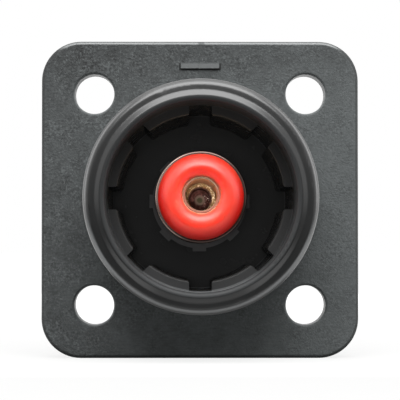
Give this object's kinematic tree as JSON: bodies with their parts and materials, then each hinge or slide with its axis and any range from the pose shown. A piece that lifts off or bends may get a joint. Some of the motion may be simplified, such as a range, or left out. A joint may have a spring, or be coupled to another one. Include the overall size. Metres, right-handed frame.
{
  "type": "battery cable connector",
  "caption": "Single-pole panel receptacle for a battery cable: square screw flange, keyed round socket, metal pin with a red touch-proof cap, and a threaded stud with nuts behind.",
  "frame": {"origin": "on the mating axis, at the panel face of the flange", "axes": "-Y along the mating axis towards the plug, +Y into the panel, +Z towards the raised dash that marks the top"},
  "size_m": [0.036, 0.0534, 0.036],
  "materials": {
    "housing_plastic": "black glass-filled moulding, spark-textured flange, smoother collar",
    "contact_metal": "turned copper alloy",
    "cap_plastic": "red moulding, satin gloss",
    "seal_rubber": "matt",
    "hardware_steel": "zinc plated"
  },
  "bodies": {
    "root": {"housing": "housing_plastic", "contact_pin": "contact_metal", "touch_cap": "cap_plastic", "contact_seal": "seal_rubber", "panel_seal": "seal_rubber", "clamp_washer": "hardware_steel", "clamp_nut": "hardware_steel", "lug_washer": "hardware_steel", "spring_washer": "hardware_steel", "terminal_nut": "hardware_steel"}
  },
  "joints": []
}
